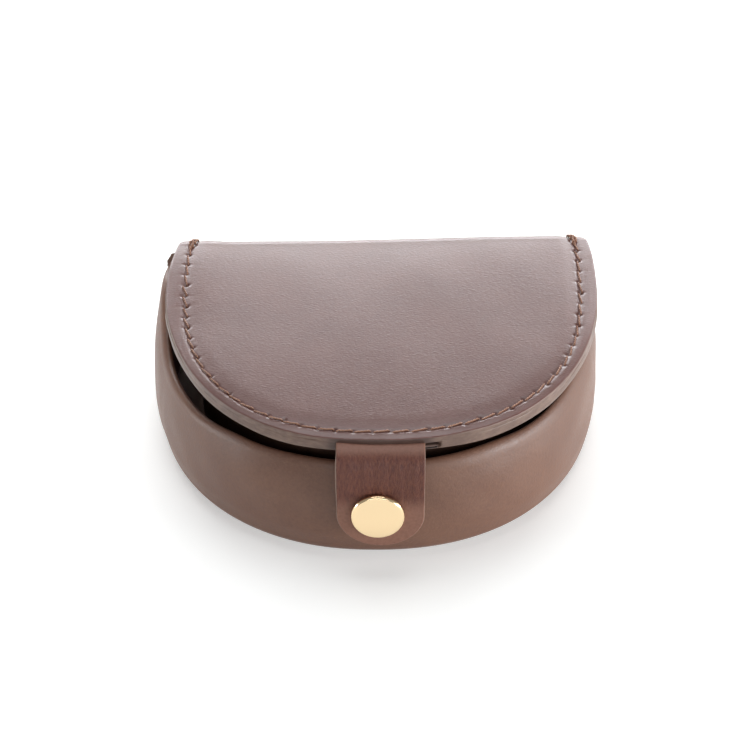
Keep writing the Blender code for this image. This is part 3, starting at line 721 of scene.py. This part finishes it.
lid_edge = cut_edge("lid_edge_burnished", "675046", "80685B")
tree = lid_edge.node_tree
shader = tree.nodes["Principled BSDF"]
plain = shader.inputs["Base Color"].links[0].from_socket
spot = add(tree, "SeparateXYZ", {0: at_rest(tree)})
# Painted shade: the edge's colour darkens towards 3A2723 beside the tab and towards the front, for the
# shade above the tab.
beside = calc(tree, "ABSOLUTE", calc(tree, "SUBTRACT", spot.outputs["X"], SHADE_MIDDLE))
painted_shade = ramp(tree, beside, SHADE_FULL, SHADE_END, 0.75, 0.0, interpolation_type="SMOOTHSTEP")
painted_shade = calc(tree, "MULTIPLY", painted_shade, ramp(tree, spot.outputs["Y"], 0.0, -20 * MM))
feed(tree, shader, {"Base Color": tint(tree, painted_shade, plain, "3A2723")})
finish(lid_cover, cover_calf, lid_edge, calf_flesh)
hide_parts("lid_cover", "spine_cover")
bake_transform(lid_cover)

# Welt
# A strip of calf between cover and flange that thickens the lid's edge. Its edge and the flange's
# are sanded together and burnished. At the tab it is skived down to let the tab's root in.
TAB_LEFT = -7.6 * MM
TAB_RIGHT = 8.6 * MM
NOTCH = 2.2 * MM  # the gap beside the tab's root, at its right
# Inset and height of the strip's and the flange's joint edge, in mm
welt_section = [(3.4, 28.87), (1.2, 28.6), (0.2, 28.6), (0.08, 28.5), (0.07, 28.25), (0.03, 27.9),
                (0.0, 27.4), (0.04, 27.05), (0.13, 26.75), (0.3, 26.52), (0.5, 26.4), (0.85, 26.34),
                (3.4, 26.34)]
welt_rows = []
points, out, length = lid_outline
s = length / MM
wave = 0.05 * np.sin(s / 6.1 + 0.5) + 0.03 * np.sin(s / 2.9)
rise = smooth(points[:, 0], TAB_LEFT - 0.5 * MM, TAB_LEFT - 0.1 * MM)
fall = smooth(TAB_RIGHT + NOTCH - points[:, 0], 0.0, 1.3 * MM)
at_tab = np.where(points[:, 1] < 0, rise * fall, 0)  # 1 where the root and the notch are
for inset, height in welt_section:
    top = smooth(height, 26.7, 27.3)
    flat = points - out * ((inset + wave * (1 - top) + 4.6 * at_tab * top) * MM)[:, None]
    flat[0, 1] = flat[-1, 1] = REAR_REACH
    lowered = height - (height - 26.9) * 0.95 * at_tab * top + wave * (1 - top)
    welt_rows.append(np.column_stack([flat, lowered * MM]))
welt_grid = placed(settled(np.array(welt_rows)), LID_SHIFT)


def swept_solid(name, grid, notch):
    """Close a grid of section rows round its length, and close both of its ends. Faces in the notch
    get the second material."""
    shape = bmesh.new()
    rows = [[shape.verts.new(point) for point in row] for row in grid]
    for number, row in enumerate(rows):
        following = rows[(number + 1) % len(rows)]
        for place in range(len(row) - 1):
            face = shape.faces.new((row[place], row[place + 1], following[place + 1], following[place]))
            face.material_index = int(notch[number, place])
    shape.faces.new([row[0] for row in rows])
    shape.faces.new([row[-1] for row in reversed(rows)])
    bmesh.ops.recalc_face_normals(shape, faces=shape.faces)
    return piece(name, shape)


# Painted shade: the notch's faces are drawn near black, for the shade inside the notch beside the tab's
# root.
notch_painted_shade = flesh("calf_notch_painted_shade", "120C0A", "1C1310")
notch = np.array([(at_tab > 0.3) & (height > 26.8) for inset, height in welt_section])
welt = finish(swept_solid("welt_burnished", welt_grid, notch), lid_edge, notch_painted_shade)
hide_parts("lid_welt")
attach(welt, "lid")

# Inner wall
# The lid's own wall, 0.9 mm calf: flanged out under the welt, turned down, rolled round the foot of
# a board and hemmed inside. It nests in the tray and holds the coins when the lid is opened.
INNER = 0.9 * MM
INNER_ROLL = 1.45 * MM
INNER_ROLL_HEIGHT = 5.25 * MM
INNER_HEM = 10.0 * MM  # height of its end
FLANGE_HEIGHT = 26.4 * MM
FLANGE_BEND = 1.0 * MM
INNER_SIZE = (37.2 * MM, 45.5 * MM, 1.2 * MM, ROUNDNESS)
flange_rows = sweep(horseshoe(*LID_SIZE, 320), [(0.9 * MM, FLANGE_HEIGHT)], LID_SHIFT)
inner_top = FLANGE_HEIGHT - FLANGE_BEND
inner_section = bend_points((-FLANGE_BEND, inner_top), FLANGE_BEND, 90, 0, 6)
inner_section += [(0.0, z) for z in np.linspace(inner_top, INNER_ROLL_HEIGHT, 20)[1:-1]]
inner_section += bend_points((INNER_ROLL, INNER_ROLL_HEIGHT), INNER_ROLL, 180, 360, 12)
inner_end = len(inner_section)
inner_section += [(2 * INNER_ROLL, z) for z in np.linspace(INNER_ROLL_HEIGHT, INNER_HEM, 6)[1:]]


def inner_swell(points, length, height, inset):
    """A little unevenness over the board."""
    s, z = length / MM, height / MM
    body = np.sin(np.pi * np.clip((z - 6) / 19, 0, 1))
    return body * (0.06 * np.sin(s / 6.1) + 0.04 * np.sin(s / 2.7 + z / 4)) * MM


inner_rows = sweep(horseshoe(*INNER_SIZE, 320), inner_section, LID_SHIFT, inner_swell)
inner_grid = np.concatenate([flange_rows, inner_rows])
inner_depth = np.full(len(inner_grid), INNER)
inner_depth[inner_end - 2:] = HEM_END
inner_wall = shell("inner_wall", [(inner_grid, inner_depth)], (0, 0, -1))
# Painted shade: the inner wall's calf is a darker copy of the cover's, so that it reads as shade in the gap
# under the lid's edge.
inner_calf_painted_shade = calf("calf_inside_painted_shade", "3E2A22", "553C30", 0.5, (0.8, 0.8, 0.8))
finish(inner_wall, inner_calf_painted_shade, calf_edge, calf_flesh)
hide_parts("inner_wall_leather")
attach(inner_wall, "lid")

# Linings of the lid
# The same thin matt calf: a D under the lid's board, a band inside the inner wall above its hem,
# and the strip that goes down the upper half of the spine.


def ceiling_height(flat, length, inset):
    """The lining under the lid's board."""
    x, y = flat[:, 0] / MM, flat[:, 1] / MM
    return (26.7 + 0.03 * np.sin(x / 5) * np.sin(y / 8)) * MM


ceiling_outline = horseshoe(*INNER_SIZE, 160)
ceiling_grid = d_sheet(ceiling_outline, np.array([2.5, 3.2, 4.5, 6.5, 9.0]) * MM, ceiling_height, 10)
lid_lining = shell("lid_lining_leather", [(placed(ceiling_grid, LID_SHIFT), LINING)], (0, 0, -1), 0.2 * MM)
finish(lid_lining, lining_calf, calf_edge, calf_flesh)
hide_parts("lid_lining")
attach(lid_lining, "lid")

INNER_LINING_INSET = 2.8 * MM
inner_lining_section = [(INNER_LINING_INSET, z) for z in np.linspace(10.8 * MM, 26.2 * MM, 10)]
inner_lining_grid = sweep(ceiling_outline, inner_lining_section, LID_SHIFT)
inner_lining = shell("inner_wall_lining_leather", [(inner_lining_grid, LINING)], (-1, 0, 0), 0.2 * MM)
finish(inner_lining, lining_calf, calf_edge, calf_flesh)
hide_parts("inner_wall_lining")
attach(inner_lining, "lid")

upper_lining = shell("spine_lining_upper", [(spine_lining_rows(True), LINING)], (0, 0, -1), 0.2 * MM)
finish(upper_lining, lining_calf, calf_edge, calf_flesh)
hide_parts("spine_lining")
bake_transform(upper_lining)

# Lid's seam
# Waxed linen thread of two plies, 0.4 mm thick, in stitches of 3.55 mm from hole to hole. Each one
# lies in the groove, a little askew, and both ends are tacked at the fold.
THREAD = 0.105 * MM  # radius of one ply
PLY_TWIST = 1.2 * MM  # length of one full turn
PLY_SIDES = 6
ASKEW = 0.17  # how far each end lies beside the seam's line, in mm
TACK_THREAD = 1.15 * THREAD  # a little looser than in the seam
# How far back each stitch of a tack starts and ends, how far aside it starts and ends, and its
# height at the middle, in mm
TACKS = ((-1.5, 1.6, 0.1, -0.25, 0.43), (-0.8, 2.4, -0.35, 0.35, 0.53), (0.2, 3.0, 0.45, -0.1, 0.48),
         (0.6, 2.9, -0.55, -0.5, 0.48), (-0.3, 1.3, 0.35, 0.5, 0.43))


def thread_finish():
    """Waxed linen, dyed reddish brown. The eye gets fine bright fibres that run round with the twist.
    Fibres are 0.02 mm thick, and they are drawn at 0.12 mm."""
    material, tree, shader = surface("linen_thread_waxed")
    fibre = noise(tree, at_rest(tree), 0.12 * MM, 2.0)
    feed(tree, shader, {
        "Base Color": tint(tree, fibre, "70402F", "BE8F72"),
        "Roughness": 0.6,
        "Normal": relief(tree, fibre, 0.5, 0.03 * MM),
        "Sheen Weight": 0.2,
    })
    return material


def join_rings(shape, rings):
    """Faces between closed rings of points. A ring can be one point, named again for each side."""
    for ring, following in zip(rings, rings[1:]):
        for place in range(len(ring)):
            after = (place + 1) % len(ring)
            corners = (ring[place], ring[after], following[after], following[place])
            shape.faces.new(dict.fromkeys(corners))


def plies(shape, centres, normal, radius):
    """Lay two twisted plies along a line of points."""
    centres = np.asarray(centres)
    along = np.gradient(centres, axis=0)
    along /= np.linalg.norm(along, axis=1)[:, None]
    side = np.cross(along, normal)
    side /= np.linalg.norm(side, axis=1)[:, None]
    up = np.cross(side, along)
    for ply in (0, math.pi):
        twist = run_along(centres) / PLY_TWIST * 2 * math.pi + ply
        middle = centres + radius * 0.85 * (side * np.cos(twist)[:, None] + up * np.sin(twist)[:, None])
        rings = []
        for place, point in enumerate(middle):
            ring = []
            for turn in np.linspace(0, 2 * math.pi, PLY_SIDES, endpoint=False):
                way = side[place] * math.cos(turn) + up[place] * math.sin(turn)
                ring.append(shape.verts.new(point + radius * way))
            rings.append(ring)
        join_rings(shape, rings)
        shape.faces.new(rings[0][::-1])
        shape.faces.new(rings[-1])


def on_lid(length, beside):
    """A place on the lid at a length along its edge, this far inside the seam's line, at the height
    of the leather there."""
    inset = seam_inset(length) + beside
    out = at_lengths(length, lid_length, lid_out)
    flat = at_lengths(length, lid_length, lid_points) - inset[:, None] * out
    return np.column_stack([flat, lid_height(flat, length, inset)])


thread = thread_finish()
seam = bmesh.new()
for number in range(stitch_count):
    share = np.linspace(-1, 1, 23)
    middle = len(share) // 2
    length = (number + 0.5) * pitch + share * hole_rng.uniform(1.5, 1.66) * MM
    y = np.interp(length[middle], lid_length, lid_points[:, 1])
    askew = ASKEW * (1 + 0.4 * smooth(y, -38 * MM, -15 * MM))
    beside = (-askew * 1.2 * share * hole_rng.uniform(0.6, 1.4) + hole_rng.uniform(-0.05, 0.05)) * MM
    line = on_lid(length, beside)
    lift = hole_rng.uniform(0.12, 0.2) + 0.12 * share ** 2 - 0.55 * np.abs(share) ** 9
    line[:, 2] = line[middle, 2] + lift * MM
    plies(seam, placed(settled(line), LID_SHIFT), (0, 0, 1), THREAD)
bmesh.ops.recalc_face_normals(seam, faces=seam.faces)
lid_seam = finish(piece("lid_seam_thread", seam), thread)
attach(lid_seam, "lid")

tack = bmesh.new()
for side in (0, 1):
    start = on_lid(np.array([side * lid_length[-1]]), np.array([0.0]))[0]
    sign = 1 if side == 0 else -1
    for from_y, to_y, aside, end_aside, lift in TACKS:
        share = np.linspace(0, 1, 21)
        y = start[1] + (from_y + (to_y - from_y) * share) * MM
        over = np.clip(y - FOLD_LINE, 0, None)
        turn = np.arcsin(np.clip(over / BEND, 0, 1))
        fall = 0.3 * MM * (1 - 0.9 * turn / (math.pi / 2))
        drop = BEND - np.sqrt(np.clip(BEND ** 2 - over ** 2, 0, None)) + fall
        bow = 1 - np.abs(2 * share - 1) ** 5
        z = HEIGHT - drop - 0.45 * MM + lift * MM * bow
        x = start[0] + sign * (aside + (end_aside - aside) * share) * MM
        plies(tack, placed(settled(np.column_stack([x, y, z])), LID_SHIFT), (0, 0.3, 1), TACK_THREAD)
bmesh.ops.recalc_face_normals(tack, faces=tack.faces)
lid_tacks = finish(piece("lid_seam_tacks", tack), thread)
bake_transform(lid_tacks)

# Base seam
# The same thread under the base, through cover and flange, 5.2 mm in from the edge. It lies in its
# own groove, so that the purse doesn't stand on it.
base_points, base_out, base_length = base_outline
base_count = round(base_length[-1] / SEAM_PITCH)
base_places = np.linspace(0, base_length[-1], base_count + 1)
base_holes = at_lengths(base_places, base_length, base_points - BASE_SEAM * base_out)
under = bmesh.new()
for start, end in zip(base_holes, base_holes[1:]):
    share = np.linspace(0, 1, 9)
    line = start + (end - start) * (0.1 + 0.8 * share)[:, None]
    height = 0.42 * MM - 0.06 * MM * (1 - (2 * share - 1) ** 4)
    plies(under, placed(settled(np.column_stack([line, height])), TRAY_SHIFT), (0, 0, -1), THREAD)
bmesh.ops.recalc_face_normals(under, faces=under.faces)
base_seam = finish(piece("base_seam_thread", under), thread)
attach(base_seam, "tray")

# Tab
# One strap of calf, 1.4 mm thick, sewn in under the lid's edge. It bends over the edge, lies in
# to the wall where the press stud pulls it, and ends round. The bend has creased it, and the band below the
# bend is drawn darker, partly as painted shade.
STRAP = 1.4 * MM
TAB_MIDDLE = (TAB_LEFT + TAB_RIGHT) / 2
TAB_HALF = (TAB_RIGHT - TAB_LEFT) / 2
TAB_FOOT = 7.3 * MM  # height of its rounded end
TAB_ROUND = 7.2 * MM  # rise of the rounding towards its sides
ROUND_START = 15.5 * MM  # below this height its rows close in on the rounding
# Distance forward and height of the strap's face, from its root to its foot
tab_path = np.array([(47.8, 28.5), (50.0, 28.5), (51.8, 28.42), (53.2, 28.2), (54.4, 27.65), (55.3, 26.8),
                     (55.85, 25.7), (56.02, 24.3), (55.98, 22.6), (55.86, 20.8), (55.78, 18.8),
                     (55.76, 16.0), (55.8, 12.5), (55.88, 9.5), (56.0, 7.0), (56.1, 5.0)]) * MM


def smooth_line(controls, steps):
    """A smooth line through control points, with its length at each point."""
    dense = []
    before = 2 * controls[0] - controls[1]
    beyond = 2 * controls[-1] - controls[-2]
    padded = np.concatenate([[before], controls, [beyond]])
    for place in range(len(padded) - 3):
        p0, p1, p2, p3 = padded[place:place + 4]
        for t in np.linspace(0, 1, steps, endpoint=False):
            dense.append(0.5 * (2 * p1 + (p2 - p0) * t + (2 * p0 - 5 * p1 + 4 * p2 - p3) * t ** 2
                                + (3 * p1 - p0 - 3 * p2 + p3) * t ** 3))
    dense.append(controls[-1])
    dense = np.array(dense)
    return dense, run_along(dense)


tab_line, tab_run = smooth_line(tab_path, 12)
common_end = np.interp(-ROUND_START, -tab_line[:, 1], tab_run)
across = np.sin(np.linspace(-1, 1, 61) * math.pi / 2 * 0.985)  # closer together at both sides
across = across / across[-1]
edge_radius = 0.3 * MM
columns = []
for share in across:
    x = TAB_MIDDLE + share * (TAB_HALF - edge_radius)
    foot = TAB_FOOT + edge_radius + (TAB_ROUND - edge_radius) * (1 - math.sqrt(max(0.0, 1 - share ** 2)))
    foot_run = np.interp(-foot, -tab_line[:, 1], tab_run)
    runs = np.concatenate([np.linspace(0, common_end, 84), np.linspace(common_end, foot_run, 37)[1:]])
    forward, height = at_lengths(runs, tab_run, tab_line).T
    bent = np.clip((runs - 5.2 * MM) / (3 * MM), 0, 1) * np.clip((common_end - runs) / (6 * MM), 0, 1)
    ripple = 0.05 * math.sin(x / MM * 2.1) + 0.03 * math.sin(x / MM * 4.7 + 1)
    cupped = 0.10 * share ** 2 - 0.12 * (1 - share ** 2) * np.exp(-((height / MM - 20.5) / 2.5) ** 2)
    forward = forward + (ripple * bent + cupped * bent) * MM
    columns.append(np.column_stack([np.full(len(runs), x), -forward, height]))
tab_grid = placed(np.array(columns).transpose(1, 0, 2), 0.0)


def tab_finish():
    """The same calf, creased where the strap is bent each time. The eye gets upright fibrous lines
    and a darker band below the bend, which is partly its creases and partly painted shade where the
    strap hangs down, and a smooth face round the cap. The creases are 0.2 mm apart on the real strap,
    and they are drawn at 0.32 mm."""
    material, tree, shader = surface("calf_strap_creased_and_shaded")
    rest = at_rest(tree)
    height = add(tree, "SeparateXYZ", {0: rest}).outputs["Z"]
    run = add(tree, "Mapping", {"Vector": rest, "Scale": (1.0, 0.5, 0.22)}).outputs["Vector"]
    lines = ramp(tree, noise(tree, run, 0.32 * MM, 4.0, Roughness=0.7), 0.34, 0.66)
    fine = noise(tree, rest, 0.6 * MM, 3.0)
    upper = ramp(tree, height, 15.0 * MM, 19.5 * MM, interpolation_type="SMOOTHSTEP")
    below = ramp(tree, height, 28.6 * MM, 27.2 * MM, interpolation_type="SMOOTHSTEP")
    bent = calc(tree, "MULTIPLY", upper, below)
    plain = tint(tree, fine, "775040", "906554")
    # Partly painted shade: the band below the bend takes darker colours, for its creases and for the shade
    # where the strap hangs down.
    creased = tint(tree, lines, "4A1F15", "6C3B29")
    depth = calc(tree, "MULTIPLY_ADD", calc(tree, "MULTIPLY", lines, bent), 1.5, fine)
    feed(tree, shader, {
        "Base Color": tint(tree, bent, plain, creased),
        "Roughness": 0.58,
        "Normal": relief(tree, depth, 1.0, 0.05 * MM),
        "IOR": 1.5,
    })
    return material


tab_edge = cut_edge("strap_edge_raw", "74584A", "957A6A")
tab_strap = shell("tab", [(tab_grid, STRAP)], (0, 0, 1), edge_radius)
finish(tab_strap, tab_finish(), tab_edge, calf_flesh)
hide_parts("tab_strap", "tab_root")
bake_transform(tab_strap)

# Press stud
# Cap, socket and stud are pressed from brass sheet and plated pale gold, the spring and the post
# are plain steel. The cap is polished bright, with a rolled rim, and clinched through the tab.
STUD_HEIGHT = 14.8 * MM
CAP_SIDES = 96
# Radius and distance forward of the cap's face, rim, back and post, in mm
cap_profile = [(0.0, 57.1), (1.2, 57.09), (2.4, 57.06), (3.4, 57.01), (3.9, 56.965), (4.2, 56.945)]
cap_profile += [(4.37 + 0.6 * math.sin(t), 56.33 + 0.6 * math.cos(t))
                for t in np.linspace(0.15, math.pi / 2, 9)]
cap_profile += [(4.97, 56.25), (4.9, 56.08), (4.6, 56.08), (4.6, 56.4), (1.0, 56.4), (1.0, 53.6),
                (0.0, 53.6)]


def plated(name, colour, roughness):
    """Plated metal, polished. The eye gets a mirror that is slightly softened by fine wipe marks,
    0.05 mm apart on the real piece and drawn at 0.3 mm."""
    material, tree, shader = surface(name)
    marks = noise(tree, add(tree, "TexCoord").outputs["Object"], 0.3 * MM, 3.0)
    feed(tree, shader, {
        "Base Color": linear(colour),
        "Metallic": 1.0,
        "Roughness": ramp(tree, marks, 0.3, 0.7, roughness, roughness + 0.06),
        "Normal": relief(tree, marks, 0.15, 0.01 * MM),
    })
    return material


gold = plated("brass_plated_pale_gold", "F8DDB2", 0.12)
steel = plated("steel_plain", "B9B4AA", 0.32)
for name in ("snap_socket", "snap_stud"):
    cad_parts[name].material_slots[0].material = gold
for name in ("snap_spring", "stud_post"):
    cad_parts[name].material_slots[0].material = steel

cap_shape = bmesh.new()
rings = []
for radius, forward in cap_profile:
    y = WIDEST_LINE - forward * MM
    if radius == 0:
        rings.append([cap_shape.verts.new((0.0, y, STUD_HEIGHT))] * CAP_SIDES)
        continue
    ring = []
    for turn in np.linspace(0, 2 * math.pi, CAP_SIDES, endpoint=False):
        x = radius * MM * math.cos(turn)
        ring.append(cap_shape.verts.new((x, y, STUD_HEIGHT + radius * MM * math.sin(turn))))
    rings.append(ring)
join_rings(cap_shape, rings)
bmesh.ops.recalc_face_normals(cap_shape, faces=cap_shape.faces)
cap = finish(piece("cap_polished", cap_shape), gold)
cap.data.set_sharp_from_angle(angle=math.radians(50))
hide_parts("snap_cap")
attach(cap, "tab")

# Floor and light
# A pale seamless floor and plain soft light from six boxes: a long one behind, which gives the lid
# its sheen, one above, two low at the right, one low at the left and a faint one in front. Camera
# and glossy rays also see the floor glow and a white surround, which hardly light anything.
FLOOR_GLOW = 0.41
floor_mesh = bpy.data.meshes.new("floor")
floor_mesh.from_pydata([(-4, -4, 0), (4, -4, 0), (4, 4, 0), (-4, 4, 0)], [], [(0, 1, 2, 3)])
floor = bpy.data.objects.new("floor", floor_mesh)
bpy.context.scene.collection.objects.link(floor)
floor_paint = bpy.data.materials.new("floor_paint")
floor_paint.use_nodes = True
tree = floor_paint.node_tree
tree.nodes.clear()
ray = add(tree, "LightPath")
seen = calc(tree, "MAXIMUM", ray.outputs["Is Camera Ray"], ray.outputs["Is Glossy Ray"])
glow = calc(tree, "MULTIPLY", seen, FLOOR_GLOW)
matt = add(tree, "BsdfDiffuse", {"Color": (0.80, 0.80, 0.78, 1.0)}).outputs[0]
lit = add(tree, "Emission", {"Color": (1.0, 1.0, 1.0, 1.0), "Strength": glow}).outputs[0]
both = add(tree, "AddShader", {0: matt, 1: lit}).outputs[0]
add(tree, "OutputMaterial", {"Surface": both})
floor_mesh.materials.append(floor_paint)

SURROUND_DARK = 0.01  # as it lights the purse
SURROUND_SHINE = 0.3  # as the purse mirrors it
world = bpy.data.worlds.new("surround")
bpy.context.scene.world = world
world.use_nodes = True
tree = world.node_tree
tree.nodes.clear()
ray = add(tree, "LightPath")
seen = calc(tree, "MAXIMUM", ray.outputs["Is Camera Ray"], SURROUND_DARK)
strength = calc(tree, "MULTIPLY_ADD", ray.outputs["Is Glossy Ray"], SURROUND_SHINE, seen)
sky = add(tree, "Background", {"Color": (1.0, 1.0, 1.0, 1.0), "Strength": strength}).outputs[0]
add(tree, "OutputWorld", {"Surface": sky})


def softbox(name, place, towards, width, height, watts):
    """One rectangular soft light, daylight white."""
    data = bpy.data.lights.new(name, "AREA")
    data.shape = "RECTANGLE"
    data.size = width
    data.size_y = height
    data.energy = watts
    data.color = (0.96, 0.98, 1.0)
    light = bpy.data.objects.new(name, data)
    bpy.context.scene.collection.objects.link(light)
    light.location = place
    light.rotation_euler = (Vector(towards) - Vector(place)).to_track_quat("-Z", "Y").to_euler()


softbox("light_behind", (0.0, 0.30, 0.12), (0.0, 0.0, 0.03), 0.50, 0.10, 1.5)
softbox("light_above", (0.0, 0.10, 0.55), (0.0, 0.0, 0.0), 0.45, 0.35, 2.0)
softbox("light_right", (0.45, -0.06, 0.06), (0.0, 0.0, 0.02), 0.30, 0.10, 1.15)
softbox("light_right_front", (0.38, -0.26, 0.05), (0.0, 0.0, 0.02), 0.30, 0.08, 1.05)
softbox("light_left", (-0.45, -0.05, 0.05), (0.0, 0.0, 0.02), 0.30, 0.08, 0.7)
softbox("light_front", (0.0, -0.50, 0.22), (0.0, 0.0, 0.02), 0.50, 0.20, 0.65)

bpy.context.scene.view_settings.view_transform = "Standard"
